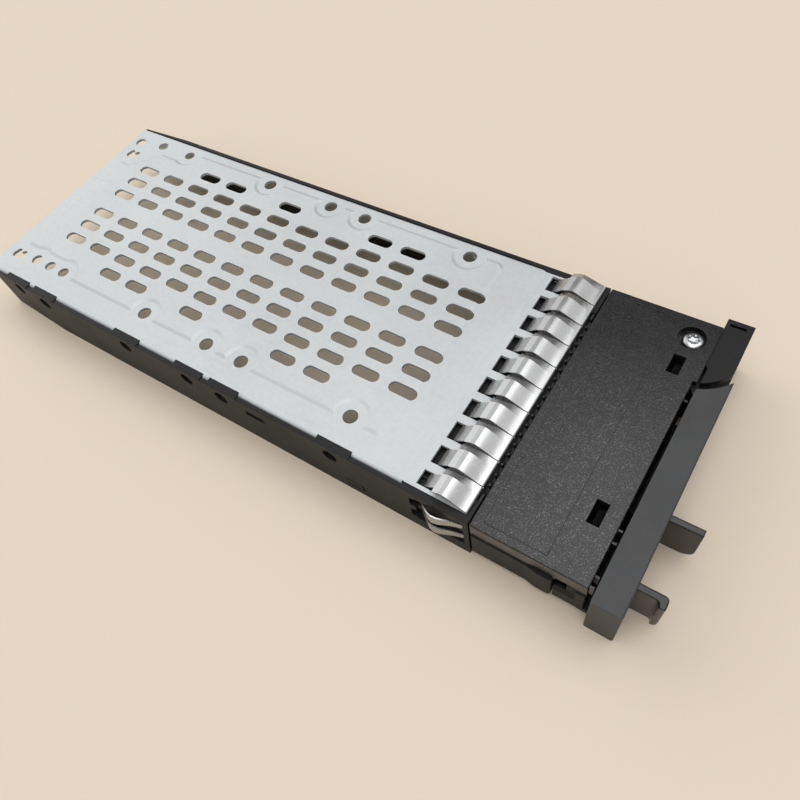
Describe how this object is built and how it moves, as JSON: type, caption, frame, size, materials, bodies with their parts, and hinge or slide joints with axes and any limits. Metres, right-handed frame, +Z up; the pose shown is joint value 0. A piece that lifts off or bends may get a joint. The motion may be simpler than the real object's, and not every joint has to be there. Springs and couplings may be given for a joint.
{
  "type": "hot swap drive carrier",
  "caption": "Long hot swap carrier for a 2.5 inch drive: perforated steel tray in a plastic frame, contact fingers, and a front handle with a two-tab release.",
  "frame": {"origin": "middle of the bounding box in plan, on the surface that the carrier lies on", "axes": "+X towards the handle, +Y away from the light guide rail, +Z up through the tray"},
  "size_m": [0.2282, 0.0848, 0.021],
  "materials": {
    "tray_steel": "satin",
    "spring_steel": "polished",
    "rail_plastic": "fine matt",
    "screen_black": "matt black",
    "screw_steel": "bright zinc",
    "clear_plastic": "clear, polished",
    "textured_plastic": "coarse spark-eroded grain",
    "housing_plastic": "fine matt",
    "handle_plastic": "satin",
    "gloss_black": "high gloss"
  },
  "bodies": {
    "carrier": {"tray_plate": "tray_steel", "contact_finger_strip": "spring_steel", "rail_frame": "rail_plastic", "side_clip_near": "spring_steel", "side_clip_far": "spring_steel", "air_screen": "screen_black", "bulkhead_screws": "screw_steel", "light_guide_activity": "clear_plastic", "light_guide_fault": "clear_plastic", "front_cover": "textured_plastic", "front_base": "housing_plastic", "pivot_screw": "screw_steel"},
    "handle": {"handle_lever": "handle_plastic", "indicator_lenses": "clear_plastic", "tab_pin_far": "screw_steel", "tab_pin_near": "screw_steel", "tab_spring": "screw_steel"},
    "far_tab": {"release_tab_far": "gloss_black"},
    "near_tab": {"release_tab_near": "gloss_black"}
  },
  "joints": [
    {"name": "handle_swing", "type": "hinge", "parent": "carrier", "child": "handle", "pos_m": [0.09345, 0.03225, 0.009], "axis": [0, 0, 1], "range_deg": [0, 55]},
    {"name": "far_tab_squeeze", "type": "hinge", "parent": "handle", "child": "far_tab", "pos_m": [0.1013, -0.01536, 0.0089], "axis": [0, 0, 1], "range_deg": [-10, 0], "stiffness_Nm_per_rad": 0.05, "deforming": ["tab_spring"]},
    {"name": "near_tab_squeeze", "type": "hinge", "parent": "handle", "child": "near_tab", "pos_m": [0.1013, -0.03325, 0.0089], "axis": [0, 0, 1], "range_deg": [0, 10], "stiffness_Nm_per_rad": 0.05, "deforming": ["tab_spring"]}
  ]
}
